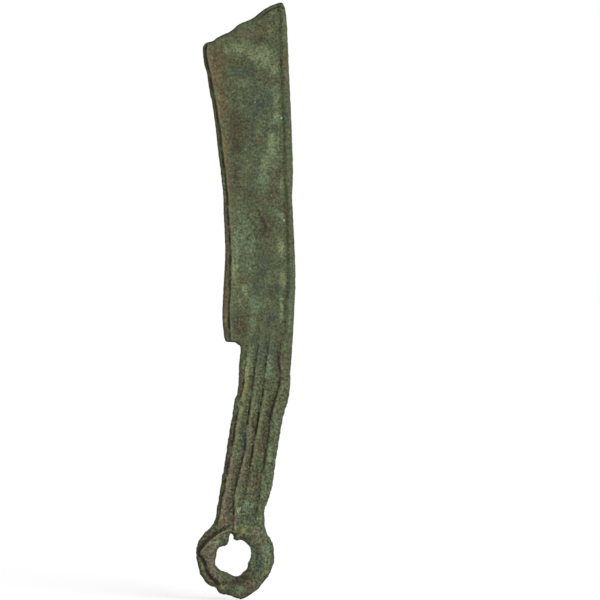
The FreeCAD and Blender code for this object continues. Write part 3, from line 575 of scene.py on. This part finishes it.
def blade_relief(across, up, gaps, face, sizes):
    """Half thickness of the blade inside its rims, with their dark lines of painted shade and dirt, and
    their crests, worn and with a painted highlight.
    """
    field = np.full(len(across), sizes.field)
    near_end = ease(2.5, 8.0, across)
    edge_in, back_in = (np.interp(up, *zip(*steps[face])) + 0.1 * wander(up, 30 + seed, 3.0)
                        for seed, steps in enumerate((EDGE_STEPS, BACK_STEPS)))
    flange = np.interp(up, [73, 84], [0.52, 0.40]) if face == OBVERSE else sizes.flange
    if face == OBVERSE:
        edge = shaded_rim(gaps["edge"], edge_in, sizes.edge_rim, flange, field)
        back = lit_rim(gaps["back"], back_in, sizes.back_rim - 0.12, sizes.wall, field)
        step, lit_step, rate = gaps["edge"] - edge_in, gaps["back"] - back_in, 33
    else:
        edge = lit_rim(gaps["edge"], edge_in, sizes.edge_rim - 0.06, sizes.wall, field)
        back = shaded_rim(gaps["back"], back_in, sizes.back_rim, flange, field)
        step, lit_step, rate = gaps["back"] - back_in, gaps["edge"] - edge_in, 34
    # Painted shade and dirt: dark lines at both rims' steps, along the slanting end's outline and
    # inside its rim
    shade_and_dirt = np.clip(0.85 + 0.9 * wander(up, rate, 2.5), 0.35, 1.3)
    shade = np.maximum.reduce([
        1.15 * shade_and_dirt * bump(step, 0.26), 0.4 * shade_and_dirt * bump(step - 1.05, 0.2),
        0.6 * shade_and_dirt * bump(lit_step - 0.1, 0.24), 0.9 * bump(gaps["end"], 0.3),
        1.1 * near_end * bump(gaps["end"] - 0.95, 0.2)])
    # Painted highlight and wear: just inside the shaded rim's step, and on the lit rim's outer flank
    crest = np.maximum(1.5 * bump(step - 0.45, 0.15), 0.6 * bump(lit_step + 0.6, 0.3))
    end = field + (sizes.end_rim - field) * near_end * bump(gaps["end"] - sizes.end_crest, 0.4)
    shoulder = field + 0.15 * bump(gaps["shoulder"] - sizes.end_crest, 0.4)
    return np.maximum.reduce([field, edge, back, end, shoulder]), shade, crest


def seam_relief(across, up, places):
    """How strongly the crisp, wandering seam on the ring stands at each place."""
    seam = np.zeros(len(across))
    for line in RING_SEAM:
        away = gap_to(smooth_line(line), places) + 0.3 * wander(up, 40, 0.9)
        seam = np.maximum(seam, bump(away, 0.23) * (1.1 + 0.5 * wander(up, 41, 0.8)))
    return seam * (ease(10.5, 6.8, up) * (0.75 + 0.25 * ease(-7.5, -4.0, across)))


def face_relief(across, up, gaps, face, sizes):
    """Half thickness of one face at each place, and its masks for the patina."""
    places = np.column_stack([across, up])
    gap_all = np.minimum.reduce(list(gaps.values()))
    half, shade, crest = blade_relief(across, up, gaps, face, sizes)
    for mark in OBVERSE_MARK if face == OBVERSE else REVERSE_MARK:
        line = gap_to(smooth_line(mark, steps=3), places)
        half += sizes.mark * bump(line, 0.36)
        shade = np.maximum(shade, 0.55 * bump(line - 0.55, 0.22))

    handle, dark, worn = handle_relief(across, up, face, sizes)
    rims_gap = np.minimum(gaps["edge"], gaps["shoulder"])
    on_handle = ease(*HANDLE_BLEND, up)
    on_handle = on_handle * np.clip(ease(1.8, 2.8, rims_gap) + ease(50.0, 49.0, up), 0, 1)
    half += (handle - half) * on_handle
    shade += (dark - shade) * on_handle
    crest += (worn - crest) * on_handle

    ring, foot = ring_relief(gaps["ring"], gaps["hole"], places, face, sizes)
    on_ring = ease(*RING_BLEND, up)
    half += (ring - half) * on_ring
    # Painted shade and dirt along the ring's foot
    shade = np.maximum(shade * (1 - on_ring), foot * (1.15 if face == OBVERSE else 0.95) * on_ring)
    crest = crest * (1 - on_ring)
    seam = np.zeros(len(across))
    if face == OBVERSE:
        seam = seam_relief(across, up, places)
        half += 0.3 * seam
        for lump_across, lump_up, size, height in LUMPS:
            half += height * bump(np.hypot(across - lump_across, up - lump_up), size)
    half = np.maximum(half, sizes.wall + 0.02)
    rounded = np.sqrt(1 - (1 - np.clip(gap_all / sizes.rounding, 0, 1)) ** 2)
    half = sizes.wall + (half - sizes.wall) * rounded
    # crest: worn crests with a painted highlight on their lit side; groove: painted shade and dirt
    masks = {"crest": crest, "groove": shade, "seam": seam}
    spots = OBVERSE_PATCHES if face == OBVERSE else REVERSE_PATCHES
    for kind in KINDS:
        masks[kind] = patches(across, up, spots.get(kind, []))
    # The groove mask: painted shade and dirt along the rims, lines and ring foot, with the dark spots
    masks["groove"] = np.maximum(shade, masks.pop("soil_and_shade"))
    return half, masks


def fractal(points, scale, octaves=3):
    """Layered noise at each point, about -1 to 1, at a scale in millimetres."""
    return np.array([noise.fractal(Vector(point) / scale, 0.8, 2.0, octaves)
                     for point in points])


def outline_gaps(places):
    """How far each place lies from each side of the outline and from the hole."""
    sides = {"edge": EDGE_SIDE, "back": BACK_SIDE, "end": [BACK_SIDE[-1]] + SLANTING_END,
             "shoulder": SHOULDER, "front": FRONT_SIDE, "ring": RING_SIDE}
    gaps = {name: gap_to(smooth_line(side), places) for name, side in sides.items()}
    hole = smooth_line(RING_HOLE, closed=True)
    gaps["hole"] = gap_to(np.vstack([hole, hole[:1]]), places)
    return gaps


def read_vertices(mesh, what):
    """The places or normals of a mesh's vertices, one row for each."""
    flat = np.empty(len(mesh.vertices) * 3)
    mesh.vertices.foreach_get(what, flat)
    return flat.reshape(-1, 3)


def shape_casting(mesh, base_half, sizes):
    """Give the even plate its relief, its worn outline and its corrosion, with their masks."""
    count = len(mesh.vertices)
    across, thick, up = read_vertices(mesh, "co").T
    gaps = outline_gaps(np.column_stack([across, up]))
    face = np.where(thick < 0, OBVERSE, REVERSE)
    half = np.empty(count)
    masks = {}
    for side in (OBVERSE, REVERSE):
        side_half, side_masks = face_relief(across, up, gaps, side, sizes)
        chosen = face == side
        half[chosen] = side_half[chosen]
        for name, mask in side_masks.items():
            masks.setdefault(name, np.zeros(count))[chosen] = mask[chosen]
    share = np.clip(np.abs(thick) / base_half, 0, 1)
    shaped = np.column_stack([across, face * share * half, up])
    mesh.vertices.foreach_set("co", shaped.ravel())
    mesh.update()

    normals = read_vertices(mesh, "normal")
    apart = 40.0
    spread = shaped + np.column_stack([np.zeros(count), face * apart, np.zeros(count)])
    broad = fractal(spread, 7.0)
    middle = fractal(spread, 1.9)
    fine = fractal(spread, 0.6, 2)
    outline = fractal(shaped, 1.5)
    gap_all = np.minimum.reduce(list(gaps.values()))
    near_wall = bump(gap_all, 0.6)
    lit = np.where(face == OBVERSE, gaps["back"], np.minimum(gaps["edge"], gaps["front"]))
    on_lit_wall = ease(0.4, -0.4, lit - gap_all)
    rugged = ease(50.0, 42.0, up)
    rough = 0.7 + 0.95 * rugged
    push = sizes.pitting * (0.45 * broad + 0.5 * middle * rough + 0.42 * fine * rough ** 2)
    push += sizes.raggedness * near_wall * (outline - 0.1) * (0.6 + 0.7 * ease(40.0, 30.0, up))
    crusts = np.maximum(masks["malachite"], masks["bloom"])
    push += 0.06 * ease(0.5, 1.1, crusts + 0.5 * middle)
    mesh.vertices.foreach_set("co", (shaped + normals * push[:, None]).ravel())
    # Painted shade: the outline darkened on its sides away from the lamps, not on the lit side
    masks["wall"] = near_wall * (1 - on_lit_wall)
    masks["rugged"] = np.maximum(rugged, 0.95 * (face == REVERSE)) + 0.2 * ease(9.0, 6.0, up)
    for name, mask in masks.items():
        attribute = mesh.attributes.new(name, "FLOAT", "POINT")
        attribute.data.foreach_set("value", mask.astype(np.float32))
    mesh.update()


class CastingOperator(bpy.types.Operator):
    """Make the casting in one piece: blade, rims, ribbed handle, ring and gate stub"""

    bl_idname = "coin.casting"
    bl_label = "Casting"

    def execute(self, context):
        sizes = context.scene.coin_casting
        base_half = 3.0 * sizes.voxel
        mesh = plate_mesh(sizes, base_half)
        shape_casting(mesh, base_half, sizes)
        mesh.transform(Matrix.Scale(MM, 4))
        mesh.name = "casting"
        mesh.shade_smooth()
        casting = bpy.data.objects.new("casting", mesh)
        context.scene.collection.objects.link(casting)
        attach(casting, "root")
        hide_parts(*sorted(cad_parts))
        faces = sum(len(polygon.vertices) - 2 for polygon in mesh.polygons)
        print(f"casting: {faces} triangles")
        return {"FINISHED"}


def linear(colour):
    """A colour as the eye sees it, as the light that a shader needs, with full alpha."""
    return (*Color(colour).from_srgb_to_scene_linear(), 1.0)


def new_group(name, **amounts):
    """An empty node group with a vector and named amounts in, and one amount out."""
    group = bpy.data.node_groups.new(name, "ShaderNodeTree")
    group.interface.new_socket("Vector", in_out="INPUT", socket_type="NodeSocketVector")
    for label, default in amounts.items():
        socket = group.interface.new_socket(label, in_out="INPUT", socket_type="NodeSocketFloat")
        socket.default_value = default
    group.interface.new_socket("Amount", in_out="OUTPUT", socket_type="NodeSocketFloat")
    return group, group.nodes.new("NodeGroupInput").outputs, group.nodes.new("NodeGroupOutput")


def add_node(tree, kind, links=(), **values):
    """A node with its settings, its sockets' values and its links in."""
    made = tree.nodes.new(kind)
    for name, amount in values.items():
        setattr(made, name, amount)
    for socket, source in links:
        if isinstance(source, bpy.types.NodeSocket):
            tree.links.new(source, made.inputs[socket])
        else:
            made.inputs[socket].default_value = source
    return made


def add_math(tree, operation, *amounts):
    """What a sum or the like makes of sockets and numbers."""
    return add_node(tree, "ShaderNodeMath", enumerate(amounts), operation=operation).outputs[0]


def mottle_group():
    """Soft noise, spread out to run from 0 to 1."""
    group, given, result = new_group("Mottle", Scale=1.0, Detail=4.0, Low=0.35, High=0.65)
    cloud = add_node(group, "ShaderNodeTexNoise", [
        ("Vector", given["Vector"]), ("Scale", given["Scale"]), ("Detail", given["Detail"]),
        ("Roughness", 0.62)])
    spread = add_node(group, "ShaderNodeMapRange", [
        ("Value", cloud.outputs["Fac"]), ("From Min", given["Low"]), ("From Max", given["High"])])
    group.links.new(spread.outputs["Result"], result.inputs["Amount"])
    return group


def crust_group():
    """A soft mask broken up by noise into flakes, from a reach on and with a soft edge."""
    group, given, result = new_group("Crust", Mask=0.0, Scale=1.0, Break=2.0, Reach=0.5, Edge=0.12)
    cloud = add_node(group, "ShaderNodeTexNoise", [
        ("Vector", given["Vector"]), ("Scale", given["Scale"]), ("Detail", 5.0),
        ("Roughness", 0.7)])
    centred = add_math(group, "SUBTRACT", cloud.outputs["Fac"], 0.5)
    lifted = add_math(group, "MULTIPLY_ADD", centred, given["Break"], given["Mask"])
    top = add_math(group, "ADD", given["Reach"], given["Edge"])
    spread = add_node(group, "ShaderNodeMapRange", [
        ("Value", lifted), ("From Min", given["Reach"]), ("From Max", top)],
        interpolation_type="SMOOTHSTEP")
    group.links.new(spread.outputs["Result"], result.inputs["Amount"])
    return group


class Painter:
    """Builds up a material's colour layer by layer over an object's own coordinates."""

    def __init__(self, tree, colours):
        self.tree = tree
        self.colours = colours
        self.colour = linear(colours.umber)
        self.mottle_group = mottle_group()
        self.crust_group = crust_group()
        self.place = add_node(tree, "ShaderNodeTexCoord").outputs["Object"]

    def mask(self, name):
        """A mask of the mesh."""
        return add_node(self.tree, "ShaderNodeAttribute", attribute_name=name).outputs["Fac"]

    def shifted(self, offset):
        """The object's coordinates moved along, so that layers don't repeat each other."""
        moved = add_node(self.tree, "ShaderNodeMapping", [
            ("Vector", self.place), ("Location", (offset, 2 * offset, 3 * offset))])
        return moved.outputs["Vector"]

    def mottle(self, millimetres, low, high, offset, detail=4.0):
        """Noise with blotches of a size, spread out between a low and a high level."""
        made = add_node(self.tree, "ShaderNodeGroup", [
            ("Vector", self.shifted(offset)), ("Scale", 1.0 / (millimetres * MM)),
            ("Detail", detail), ("Low", low), ("High", high)], node_tree=self.mottle_group)
        return made.outputs["Amount"]

    def crust(self, mask, millimetres, reach, edge, offset, broken=2.0):
        """A mask of the mesh broken into flakes of a size, above a reach and with a soft edge."""
        made = add_node(self.tree, "ShaderNodeGroup", [
            ("Vector", self.shifted(offset)), ("Mask", self.mask(mask)),
            ("Scale", 1.0 / (millimetres * MM)), ("Break", broken), ("Reach", reach),
            ("Edge", edge)], node_tree=self.crust_group)
        return made.outputs["Amount"]

    def times(self, first, second):
        """Two amounts multiplied."""
        return add_math(self.tree, "MULTIPLY", first, second)

    def plus(self, first, second):
        """Two amounts added."""
        return add_math(self.tree, "ADD", first, second)

    def cover(self, kind, *amounts):
        """Lay a kind's colour over what is there, by an amount or the product of two."""
        amount = self.times(*amounts) if len(amounts) == 2 else amounts[0]
        over = linear(getattr(self.colours, kind))
        made = add_node(self.tree, "ShaderNodeMix", [(0, amount), (6, self.colour), (7, over)],
                        data_type="RGBA")
        self.colour = made.outputs[2]

    def shade(self, amount):
        """Make what is there lighter or darker."""
        made = add_node(self.tree, "ShaderNodeVectorMath", [(0, self.colour), ("Scale", amount)],
                        operation="SCALE")
        self.colour = made.outputs[0]


def patina_material(colours):
    """The whole patina: mottled olive, brown earth, green crusts, soil with painted shade, and worn
    crests with a painted highlight.
    """
    material = bpy.data.materials.new("bronze_patina")
    material.use_nodes = True
    tree = material.node_tree
    shader = tree.nodes["Principled BSDF"]
    paint = Painter(tree, colours)
    grain = paint.mottle(1.0, 0.32, 0.68, 3.0)
    specks = paint.mottle(0.5, 0.34, 0.66, 4.0, 2.0)
    rugged = paint.mask("rugged")

    paint.cover("olive", paint.mottle(4.5, 0.4, 0.6, 1.0))
    paint.cover("green", paint.mottle(2.2, 0.42, 0.62, 2.0), 0.6)
    for index, kind in enumerate(TINTS):
        paint.cover(kind, paint.crust(kind, 1.5, 0.1, 0.8, 20.0 + index, 2.2), 0.95)
    flakes = paint.crust("malachite", 1.1, 0.62, 0.7, 10.0, 5.0)
    paint.cover("malachite", flakes, paint.plus(paint.times(specks, 0.5), 0.45))
    paint.cover("bloom", paint.crust("bloom", 0.6, 0.78, 0.55, 15.0, 5.0), 0.8)

    paint.shade(add_node(tree, "ShaderNodeMapRange", [
        ("Value", grain), ("To Min", 0.72), ("To Max", 1.26)]).outputs["Result"])
    swing = paint.plus(paint.times(rugged, 0.44), 0.93)
    paint.shade(paint.plus(paint.times(paint.plus(specks, -0.5), swing), 0.99))
    flecks = paint.mottle(0.55, 0.6, 0.7, 7.0, 2.0)
    flecks = paint.times(flecks, paint.mottle(3.5, 0.4, 0.65, 8.0))
    paint.cover("sage", flecks, 0.55)

    paint.cover("ochre_and_highlight", paint.crust("ochre_and_highlight", 0.8, 0.55, 0.5, 9.0, 3.6), 0.7)
    paint.cover("rust", paint.crust("rust", 1.0, 0.45, 0.4, 11.0), 0.8)
    # Painted shade and dirt in the grooves and dark lines
    paint.cover("soil_and_shade", paint.crust("groove", 0.8, 0.15, 0.95, 12.0, 2.2), 0.95)
    pits = paint.mottle(0.75, 0.61, 0.7, 13.0)
    paint.cover("soil_and_shade", pits, paint.plus(paint.times(rugged, 0.3), 0.45))
    # Painted highlight and wear along the crests
    paint.cover("ochre_and_highlight", paint.crust("crest", 0.9, 0.5, 0.5, 14.0), 0.4)
    paint.cover("tan", paint.crust("seam", 0.9, 0.35, 0.4, 16.0), 0.8)
    # Painted shade along the outline on its shaded sides
    paint.cover("soil_and_shade", paint.mask("wall"), 0.5)
    tree.links.new(paint.colour, shader.inputs["Base Color"])

    rough = add_node(tree, "ShaderNodeMapRange", [
        ("Value", grain), ("To Min", 0.58), ("To Max", 0.82)])
    tree.links.new(rough.outputs["Result"], shader.inputs["Roughness"])
    shader.inputs["Specular IOR Level"].default_value = 0.28

    height = paint.plus(paint.times(grain, 0.6), paint.times(specks, 0.4))
    height = paint.plus(height, paint.times(flakes, 0.8))
    relief = add_node(tree, "ShaderNodeBump", [
        ("Strength", 0.7), ("Distance", 0.11 * MM), ("Height", height)])
    tree.links.new(relief.outputs["Normal"], shader.inputs["Normal"])
    return material


class PatinaOperator(bpy.types.Operator):
    """Give the casting its patina"""

    bl_idname = "coin.patina"
    bl_label = "Patina"

    def execute(self, context):
        material = patina_material(context.scene.coin_patina)
        casting = bpy.data.objects["casting"]
        casting.data.materials.clear()
        casting.data.materials.append(material)
        return {"FINISHED"}


def seen_directly(tree):
    """1 where the camera, a reflection or a see-through part looks straight at a surface."""
    path = add_node(tree, "ShaderNodeLightPath").outputs
    clear = add_math(tree, "MAXIMUM", path["Is Camera Ray"], path["Is Glossy Ray"])
    return add_math(tree, "MAXIMUM", clear, path["Is Transmission Ray"])


def floor_material(studio):
    """Plain matt paper, part of whose white is its own, so that shadows stay pale."""
    material = bpy.data.materials.new("studio_floor")
    material.use_nodes = True
    tree = material.node_tree
    shader = tree.nodes["Principled BSDF"]
    direct = seen_directly(tree)
    shown = add_node(tree, "ShaderNodeMix", [
        (0, direct), (6, linear(studio.bounce)), (7, linear(studio.floor))], data_type="RGBA")
    tree.links.new(shown.outputs[2], shader.inputs["Base Color"])
    shader.inputs["Emission Color"].default_value = (1, 1, 1, 1)
    glow = add_math(tree, "MULTIPLY", direct, studio.floor_glow)
    tree.links.new(glow, shader.inputs["Emission Strength"])
    shader.inputs["Roughness"].default_value = 0.95
    shader.inputs["Specular IOR Level"].default_value = 0.05
    return material


def make_floor(studio):
    """A broad floor just under the coin, in metres."""
    reach = 40.0
    clearance = 0.0001
    low = min(corner[2] for corner in CAD_BOX)
    plan = bmesh.new()
    bmesh.ops.create_grid(plan, x_segments=1, y_segments=1, size=reach)
    bmesh.ops.translate(plan, verts=plan.verts, vec=(0, 0, low - clearance))
    mesh = bpy.data.meshes.new("studio_floor")
    plan.to_mesh(mesh)
    plan.free()
    mesh.materials.append(floor_material(studio))
    ground = bpy.data.objects.new("studio_floor", mesh)
    bpy.context.scene.collection.objects.link(ground)


def make_world(strength):
    """A soft light from all round, behind which the camera sees white."""
    world = bpy.data.worlds.new("studio")
    bpy.context.scene.world = world
    world.use_nodes = True
    tree = world.node_tree
    light = tree.nodes["Background"]
    light.inputs["Color"].default_value = (1, 1, 1, 1)
    shown = add_math(tree, "MULTIPLY_ADD", seen_directly(tree), 1.0 - strength, strength)
    tree.links.new(shown, light.inputs["Strength"])


def make_lamp(name, towards, strength, softness):
    """A broad, soft lamp far away, which lies towards a direction."""
    lamp = bpy.data.lights.new(name, "SUN")
    lamp.energy = strength
    lamp.angle = softness
    holder = bpy.data.objects.new(name, lamp)
    holder.rotation_euler = Vector(towards).to_track_quat("Z", "Y").to_euler()
    bpy.context.scene.collection.objects.link(holder)


class StudioOperator(bpy.types.Operator):
    """Set up the floor, the soft light and the camera"""

    bl_idname = "coin.studio"
    bl_label = "Studio"

    def execute(self, context):
        studio = context.scene.coin_studio
        make_floor(studio)
        make_world(studio.sky)
        make_lamp("front_key", (0.66, -0.64, 0.39), studio.key, studio.softness)
        make_lamp("back_key", (-0.66, 0.64, 0.39), studio.key, studio.softness)
        lens = bpy.data.cameras.new("camera")
        lens.lens = studio.lens
        lens.sensor_width = 36.0
        camera = bpy.data.objects.new("camera", lens)
        distance = studio.view_height * MM * lens.lens / lens.sensor_width
        camera.location = (studio.aim_across * MM, -distance, studio.aim_up * MM)
        camera.rotation_euler = (math.pi / 2, 0, 0)
        lens.clip_start = 0.01
        lens.clip_end = 50.0
        context.scene.collection.objects.link(camera)
        context.scene.camera = camera
        context.scene.view_settings.view_transform = "Standard"
        return {"FINISHED"}


class CoinPanel(bpy.types.Panel):
    """The steps of making the coin, in order"""

    bl_idname = "VIEW3D_PT_coin"
    bl_label = "Knife Coin"
    bl_space_type = "VIEW_3D"
    bl_region_type = "UI"
    bl_category = "Coin"

    def draw(self, context):
        for operator in (CastingOperator, PatinaOperator, StudioOperator):
            self.layout.operator(operator.bl_idname)


CLASSES = (CastingSizes, PatinaColours, StudioSettings, CastingOperator, PatinaOperator,
           StudioOperator, CoinPanel)


def register():
    """Make the settings, operators and panel known."""
    for made in CLASSES:
        bpy.utils.register_class(made)
    bpy.types.Scene.coin_casting = PointerProperty(type=CastingSizes)
    bpy.types.Scene.coin_patina = PointerProperty(type=PatinaColours)
    bpy.types.Scene.coin_studio = PointerProperty(type=StudioSettings)


def unregister():
    """Take the settings, operators and panel away again."""
    del bpy.types.Scene.coin_studio
    del bpy.types.Scene.coin_patina
    del bpy.types.Scene.coin_casting
    for made in reversed(CLASSES):
        bpy.utils.unregister_class(made)


def main():
    """Make the coin and its studio."""
    register()
    bpy.ops.coin.casting()
    bpy.ops.coin.patina()
    bpy.ops.coin.studio()


if __name__ == "__main__":
    main()
